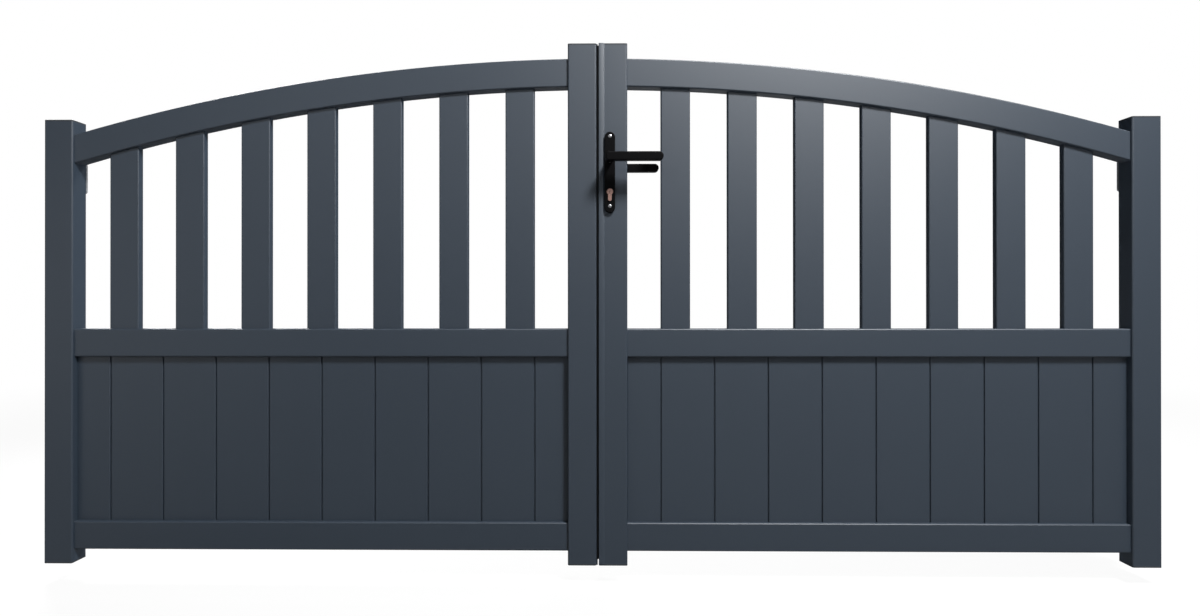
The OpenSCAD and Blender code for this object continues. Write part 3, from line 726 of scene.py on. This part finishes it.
def grub_screws():
    """Set screws under the necks of the two levers."""
    axis = Vector(JOINTS["lever_turn"]["pos_m"])
    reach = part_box("front_backplate")[0].y - 11 * MM
    radius = 2.3 * MM
    socket = 1.4 * MM
    inside = NECK_RADIUS - 3 * MM
    face = NECK_RADIUS + 0.2 * MM
    bm = bmesh.new()
    for y in (reach, -reach):
        place = Matrix.Translation((axis.x, y, axis.z)) @ Matrix.Rotation(math.pi, 4, "X")
        lathe(bm, [
            (0.0, inside), (radius, inside), (radius, NECK_RADIUS), (radius - 0.3 * MM, face),
            (socket, face, HEXAGON), (socket, face - 1.6 * MM, HEXAGON), (0.0, face - 1.7 * MM),
        ], place, 24)
    new_piece("lever_grub_screws", bm, "stainless", "lever_set")


def plate_screws():
    """Countersunk screws with a hexagon socket, and their domed nuts at the back."""
    bm = bmesh.new()
    shank = 2.4 * MM
    socket = 1.75 * MM
    nut = 5 * MM
    nut_height = 3 * MM
    nut_round = 1.8 * MM
    for low, high in solids_of("backplate_screws"):
        x, z = (low.x + high.x) / 2, (low.z + high.z) / 2
        face = -low.y
        crown = face + 0.7 * MM
        tip = nut_height - high.y
        lathe(bm, [
            (0.0, tip), (shank, tip), (shank, face - 2.6 * MM),
            (SCREW_HEAD, face - 0.3 * MM), (SCREW_HEAD - 0.2 * MM, face),
            (SCREW_HEAD - 1.2 * MM, face + 0.45 * MM), (socket + 0.5 * MM, crown),
            (socket, crown, HEXAGON), (socket, crown - 2 * MM, HEXAGON), (0.0, crown - 2.3 * MM),
        ], facing(x, 0.0, z))
        seat = high.y - nut_height
        shoulder = seat + 1.2 * MM
        dome = arc((nut - nut_round, shoulder), nut_round, 20, 90, 4)
        lathe(bm, [
            (0.0, seat - MM), (nut, seat - MM), (nut, shoulder), *dome,
            (socket, high.y, HEXAGON), (socket, high.y - 1.8 * MM, HEXAGON),
            (0.0, high.y - 2 * MM),
        ], facing(x, 0.0, z, rear=True))
    new_piece("backplate_screws_dressed", bm, "stainless", "right_leaf", ("backplate_screws",))


# Hinges and seal


def hinge_bolts(side):
    """Round headed bolts with a hexagon socket through the hinge straps."""
    node = f"{side}_hinge_bolts"
    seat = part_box(f"{side}_stile_caps")[1].y + STRAP_THICKNESS
    rim = seat + MM
    dome = 3.4 * MM
    socket = 2.9 * MM
    bm = bmesh.new()
    for low, high in solids_of(node):
        head = (high.x - low.x) / 2
        shank = head - 3 * MM
        rise = (high.y - rim) / dome
        lathe(bm, [
            (0.0, low.y), (shank - 0.6 * MM, low.y), (shank, low.y + 0.6 * MM), (shank, seat),
            (head - 0.2 * MM, seat), (head, seat + 0.2 * MM), (head, rim),
            *[(head - dome + x, rim + y * rise) for x, y in arc((0, 0), dome, 12, 90, 6)],
            (socket, high.y, HEXAGON), (socket, high.y - 2.4 * MM, HEXAGON),
            (0.0, high.y - 2.8 * MM),
        ], facing((low.x + high.x) / 2, 0.0, (low.z + high.z) / 2, rear=True))
    new_piece(f"{side}_hinge_bolts_dressed", bm, "stainless", NODES[node]["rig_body"], (node,))


def weld_bead(bm, start, end):
    """Adds a rippled weld from start to end to bm."""
    start, end = Vector(start), Vector(end)
    length = (end - start).length
    turn = (end - start).to_track_quat("Z", "Y").to_matrix().to_4x4()
    ripple = 1.7 * MM
    steps = round(length / (ripple / 4))
    profile = [(0.0, 0.0)]
    for i in range(1, steps):
        along = 2 * i / steps - 1
        taper = (1 - along ** 8) ** 0.5
        swell = 0.9 + 0.2 * abs(math.sin(math.pi * length * i / steps / ripple))
        profile.append((WELD_RADIUS * taper * swell, length * i / steps))
    profile.append((0.0, length))
    lathe(bm, profile, Matrix.Translation(start) @ turn, 10)


def hinge_welds(side):
    """Welds that hold the eyes to the straps and the knuckles to the pillar plates."""
    sign = 1.0 if side == "right" else -1.0
    stile_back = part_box(f"{side}_outer_stile")[1].y
    strap_face = stile_back + STRAP_THICKNESS
    plate_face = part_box(f"{side}_pillar_brackets")[sign > 0].x - sign * BRACKET_THICKNESS
    half = EYE_HEIGHT / 2
    bm_strap, bm_plate = bmesh.new(), bmesh.new()
    for low, high in solids_of(f"{side}_hinge_pins"):
        x, y = (low.x + high.x) / 2, (low.y + high.y) / 2
        level = high.z - HINGE_TOP
        inner, outer = x - sign * 24 * MM, x - sign * 9 * MM
        for z in (level - half, level + half):
            weld_bead(bm_strap, (inner, strap_face, z), (outer, strap_face, z))
        weld_bead(bm_strap, (inner, strap_face, level - half), (inner, strap_face, level + half))
        for z in (level + half + KNUCKLE_GAP, level - half - KNUCKLE_GAP - KNUCKLE_HEIGHT):
            for beside in (y - 10 * MM, y + 10 * MM):
                weld_bead(bm_plate, (plate_face, beside, z),
                          (plate_face, beside, z + KNUCKLE_HEIGHT))
    new_piece(f"{side}_strap_welds", bm_strap, "zinc_steel", f"{side}_leaf")
    new_piece(f"{side}_bracket_welds", bm_plate, "zinc_steel", "pillar_side")


def pin_clips(side):
    """Open rings that keep the hinge pins in their knuckles."""
    def outline(grow):
        outside = arc((0, 0), 8.4 * MM + grow, -60, 240, 40)
        return outside + arc((0, 0), 5.1 * MM - grow, 240, -60, 40)

    rounding = 0.15 * MM
    bm = bmesh.new()
    for low, high in solids_of(f"{side}_hinge_pins"):
        place = Matrix.Translation(((low.x + high.x) / 2, (low.y + high.y) / 2, low.z + 4.3 * MM))
        slab(bm, outline, [], (0.0, MM), (rounding, rounding), None, place)
    new_piece(f"{side}_pin_clips", bm, "stainless", "pillar_side")


def seal_lip():
    """Rubber seal whose lip curls over the gap to the other stile."""
    low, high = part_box("gap_seal")
    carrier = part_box("seal_carrier")[0]
    root = carrier.x + 3 * MM
    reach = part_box("right_meeting_stile")[0].x - root
    lip = 0.7 * MM
    centre = (root, carrier.y + 2 * MM)
    outline = [
        *arc(centre, reach, -90, 0, 12), *arc(centre, reach - lip, 0, -90, 12),
        (root, carrier.y), (carrier.x + FIT, carrier.y), (carrier.x + FIT, centre[1] - reach),
    ]
    bm = bmesh.new()
    slab(bm, lambda grow: outline, [], (low.z, high.z), (0.0, 0.0), None, Matrix.Identity(4))
    new_piece("gap_seal_lip", bm, "rubber", NODES["gap_seal"]["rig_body"], ("gap_seal",))


# Stage


def ramp(tree, value, start, stop, low, high):
    """A smooth step of value between start and stop, from low to high."""
    node = tree.nodes.new("ShaderNodeMapRange")
    node.interpolation_type = "SMOOTHSTEP"
    limits = {"From Min": start, "From Max": stop, "To Min": low, "To Max": high}
    for label, number in limits.items():
        node.inputs[label].default_value = number
    tree.links.new(value, node.inputs["Value"])
    return node.outputs[0]


def background_rays(tree, towards):
    """Which rays show the background, and which of them show it white.

    Camera and transmission rays show it white everywhere. Glossy rays show it pale behind the
    gate, on the side of the key, and dark elsewhere, so that the faces in shade stay dark.
    """
    path = tree.nodes.new("ShaderNodeLightPath")
    camera, through = path.outputs["Is Camera Ray"], path.outputs["Is Transmission Ray"]
    direct = math_node(tree, "ADD", camera, through)
    unit = tree.nodes.new("ShaderNodeVectorMath")
    unit.operation = "NORMALIZE"
    tree.links.new(towards, unit.inputs[0])
    side = tree.nodes.new("ShaderNodeVectorMath")
    side.operation = "DOT_PRODUCT"
    side.inputs[1].default_value = GLOSSY_SIDE
    tree.links.new(unit.outputs[0], side.inputs[0])
    behind = ramp(tree, side.outputs["Value"], *GLOSSY_CONE, 0.0, GLOSSY_WHITE)
    glossy = path.outputs["Is Glossy Ray"]
    white = math_node(tree, "ADD", direct, math_node(tree, "MULTIPLY", glossy, behind))
    return math_node(tree, "ADD", direct, glossy), white


def make_floor(stage):
    """Pale ground that takes the gate's shadow.

    It is white but for a share of lit plaster, which holds the shadow and fades out far away.
    The plaster is pale where it is seen, and greyer for the light that bounces off it.
    """
    bm = bmesh.new()
    bmesh.ops.create_grid(bm, x_segments=1, y_segments=1, size=GROUND_SIZE)
    mesh = bpy.data.meshes.new("ground")
    bm.to_mesh(mesh)
    bm.free()
    ground = bpy.data.objects.new("ground", mesh)
    ground.location.z = stage.floor_z
    bpy.context.scene.collection.objects.link(ground)
    material = bpy.data.materials.new("ground")
    material.use_nodes = True
    tree = material.node_tree
    tree.nodes.remove(tree.nodes["Principled BSDF"])
    plaster = tree.nodes.new("ShaderNodeBsdfDiffuse")
    glow = tree.nodes.new("ShaderNodeEmission")
    place = tree.nodes.new("ShaderNodeNewGeometry").outputs["Position"]
    distance = tree.nodes.new("ShaderNodeVectorMath")
    distance.operation = "LENGTH"
    tree.links.new(place, distance.inputs[0])
    seen, white = background_rays(tree, place)
    tree.links.new(white, glow.inputs["Strength"])
    lift = math_node(tree, "MULTIPLY", seen, PALE_GROUND - BOUNCE_GROUND)
    tree.links.new(math_node(tree, "ADD", lift, BOUNCE_GROUND), plaster.inputs["Color"])
    pale = ramp(tree, distance.outputs["Value"], *SHADOW_REACH, 1.0 - SHADOW_SHARE, 1.0)
    mix = tree.nodes.new("ShaderNodeMixShader")
    tree.links.new(math_node(tree, "MULTIPLY", seen, pale), mix.inputs[0])
    tree.links.new(plaster.outputs[0], mix.inputs[1])
    tree.links.new(glow.outputs[0], mix.inputs[2])
    tree.links.new(mix.outputs[0], tree.nodes["Material Output"].inputs["Surface"])
    mesh.materials.append(material)


def make_world(stage):
    """White for the rays that show the background, and the ambient light for all others."""
    world = bpy.data.worlds.new("studio")
    bpy.context.scene.world = world
    world.use_nodes = True
    tree = world.node_tree
    light = tree.nodes["Background"]
    light.inputs["Color"].default_value = (0.95, 0.98, 1.0, 1.0)
    light.inputs["Strength"].default_value = stage.ambient
    white = tree.nodes.new("ShaderNodeBackground")
    white.inputs["Color"].default_value = (1.0, 1.0, 1.0, 1.0)
    white.inputs["Strength"].default_value = 1.0
    outward = tree.nodes.new("ShaderNodeTexCoord").outputs["Generated"]
    _, seen_white = background_rays(tree, outward)
    mix = tree.nodes.new("ShaderNodeMixShader")
    tree.links.new(seen_white, mix.inputs[0])
    tree.links.new(light.outputs[0], mix.inputs[1])
    tree.links.new(white.outputs[0], mix.inputs[2])
    tree.links.new(mix.outputs[0], tree.nodes["World Output"].inputs["Surface"])


def soft_box(name, place, target, size, power):
    """A square lamp at a place, aimed at a target."""
    lamp = bpy.data.lights.new(name, "AREA")
    lamp.shape = "SQUARE"
    lamp.size = size
    lamp.energy = power
    obj = bpy.data.objects.new(name, lamp)
    bpy.context.scene.collection.objects.link(obj)
    obj.location = place
    obj.rotation_euler = (Vector(target) - Vector(place)).to_track_quat("-Z", "Y").to_euler()
    return obj


def make_lights(stage):
    """Key at the upper right of the street side, weak lamps for its shadows, and lamps behind."""
    soft_box(*KEY, stage.key_power)
    for *aim, power in FILLS:
        soft_box(*aim, power * stage.fill)
    soft_box(*BACK, stage.back_power)
    soft = soft_box(*BACK_FILL, BACK_FILL_POWER * stage.fill)
    soft.visible_glossy = False
    beam = soft_box(*BACK_LEFT, BACK_LEFT_POWER * stage.fill)
    beam.data.spread = BACK_LEFT_SPREAD


def make_camera(stage):
    """Camera at the photographed view."""
    data = bpy.data.cameras.new("camera")
    data.lens = stage.focal
    data.shift_x, data.shift_y = LENS_SHIFT
    camera = bpy.data.objects.new("camera", data)
    camera.location = stage.camera_place
    camera.rotation_euler = stage.camera_turn
    bpy.context.scene.collection.objects.link(camera)
    bpy.context.scene.camera = camera


# Operators, panel and run


class GATE_OT_mix_finishes(bpy.types.Operator):
    """Mix the finishes of the coat, plastic, metals and rubber"""

    bl_idname = "gate.mix_finishes"
    bl_label = "Mix finishes"

    def execute(self, context):
        coat = context.scene.gate_coat
        handle = context.scene.gate_handle
        metals = context.scene.gate_metals
        groups = {
            "grain": coat_grain_group(),
            "brushed": brushed_group(),
            "spangle": spangle_group(),
        }
        powder_coat(groups, coat)
        cap_plastic(groups, coat)
        black_coat(groups, handle)
        ground_steel(groups, metals)
        zinc_steel(groups, metals)
        turned_metal(groups, "bronze", metals.bronze, 0.35)
        turned_metal(groups, "cylinder_brass", metals.brass, 0.36, 0.6)
        seal_rubber(groups, metals)
        return {"FINISHED"}


class GATE_OT_dress_leaves(bpy.types.Operator):
    """Coat the stiles, rails, slats, boards and trim"""

    bl_idname = "gate.dress_leaves"
    bl_label = "Dress leaves"

    def execute(self, context):
        for node, slot in SLOTS.items():
            if slot == "powder_coat":
                smooth_cad(node)
        return {"FINISHED"}


class GATE_OT_dress_caps(bpy.types.Operator):
    """Finish the caps of the stiles with rounded edges"""

    bl_idname = "gate.dress_caps"
    bl_label = "Dress caps"

    def execute(self, context):
        for side in SIDES:
            smooth_cad(f"{side}_stile_caps", context.scene.gate_coat.cap_edge)
        return {"FINISHED"}


class GATE_OT_dress_hardware(bpy.types.Operator):
    """Finish the hinges, lock and drop bolt"""

    bl_idname = "gate.dress_hardware"
    bl_label = "Dress hardware"

    def execute(self, context):
        edge = context.scene.gate_metals.edge
        for node, slot in SLOTS.items():
            if slot == "zinc_steel":
                smooth_cad(node, edge)
            elif slot in ("stainless", "bronze", "cylinder_brass") and node not in REPLACED:
                smooth_cad(node, edge / 2)
        return {"FINISHED"}


class GATE_OT_make_backplates(bpy.types.Operator):
    """Make the two backplates and their screws"""

    bl_idname = "gate.make_backplates"
    bl_label = "Make backplates"

    def execute(self, context):
        backplate("front_backplate_rounded", "front_backplate", "right_leaf", rear=False)
        backplate("rear_backplate_rounded", "rear_backplate", "right_leaf", rear=True)
        plate_screws()
        return {"FINISHED"}


class GATE_OT_make_levers(bpy.types.Operator):
    """Make the two levers and their set screws"""

    bl_idname = "gate.make_levers"
    bl_label = "Make levers"

    def execute(self, context):
        lever("front_lever_rounded", "front_lever", rear=False)
        lever("rear_lever_rounded", "rear_lever", rear=True)
        grub_screws()
        return {"FINISHED"}


class GATE_OT_make_hinge_details(bpy.types.Operator):
    """Make the bolts, welds and clips of the hinges"""

    bl_idname = "gate.make_hinge_details"
    bl_label = "Make hinge details"

    def execute(self, context):
        for side in SIDES:
            hinge_bolts(side)
            hinge_welds(side)
            pin_clips(side)
        return {"FINISHED"}


class GATE_OT_make_seal(bpy.types.Operator):
    """Make the rubber seal in the gap"""

    bl_idname = "gate.make_seal"
    bl_label = "Make seal"

    def execute(self, context):
        seal_lip()
        return {"FINISHED"}


class GATE_OT_build_stage(bpy.types.Operator):
    """Set the floor, the light and the camera"""

    bl_idname = "gate.build_stage"
    bl_label = "Build stage"

    def execute(self, context):
        stage = context.scene.gate_stage
        make_floor(stage)
        make_world(stage)
        make_lights(stage)
        make_camera(stage)
        context.scene.view_settings.view_transform = "Standard"
        return {"FINISHED"}


SETTINGS = {
    "gate_coat": CoatSettings,
    "gate_handle": HandleSettings,
    "gate_metals": MetalSettings,
    "gate_stage": StageSettings,
}
OPERATORS = (
    GATE_OT_mix_finishes,
    GATE_OT_dress_leaves,
    GATE_OT_dress_caps,
    GATE_OT_dress_hardware,
    GATE_OT_make_backplates,
    GATE_OT_make_levers,
    GATE_OT_make_hinge_details,
    GATE_OT_make_seal,
    GATE_OT_build_stage,
)


class GATE_PT_gate(bpy.types.Panel):
    """Lists the gate's settings and its operators."""

    bl_idname = "GATE_PT_gate"
    bl_label = "Double swing gate"
    bl_space_type = "VIEW_3D"
    bl_region_type = "UI"
    bl_category = "Gate"

    def draw(self, context):
        for name, group in SETTINGS.items():
            box = self.layout.box()
            for key in group.__annotations__:
                box.prop(getattr(context.scene, name), key)
        for operator in OPERATORS:
            self.layout.operator(operator.bl_idname)


def register():
    """Registers the settings, operators and panel."""
    for group in SETTINGS.values():
        bpy.utils.register_class(group)
    for name, group in SETTINGS.items():
        setattr(bpy.types.Scene, name, bpy.props.PointerProperty(type=group))
    for cls in (*OPERATORS, GATE_PT_gate):
        bpy.utils.register_class(cls)


def unregister():
    """Removes what register added."""
    for cls in (GATE_PT_gate, *reversed(OPERATORS)):
        bpy.utils.unregister_class(cls)
    for name, group in SETTINGS.items():
        delattr(bpy.types.Scene, name)
        bpy.utils.unregister_class(group)


def main():
    """Builds the looks of the gate."""
    register()
    bpy.ops.gate.mix_finishes()
    bpy.ops.gate.dress_leaves()
    bpy.ops.gate.dress_caps()
    bpy.ops.gate.dress_hardware()
    bpy.ops.gate.make_backplates()
    bpy.ops.gate.make_levers()
    bpy.ops.gate.make_hinge_details()
    bpy.ops.gate.make_seal()
    bpy.ops.gate.build_stage()


if __name__ == "__main__":
    main()
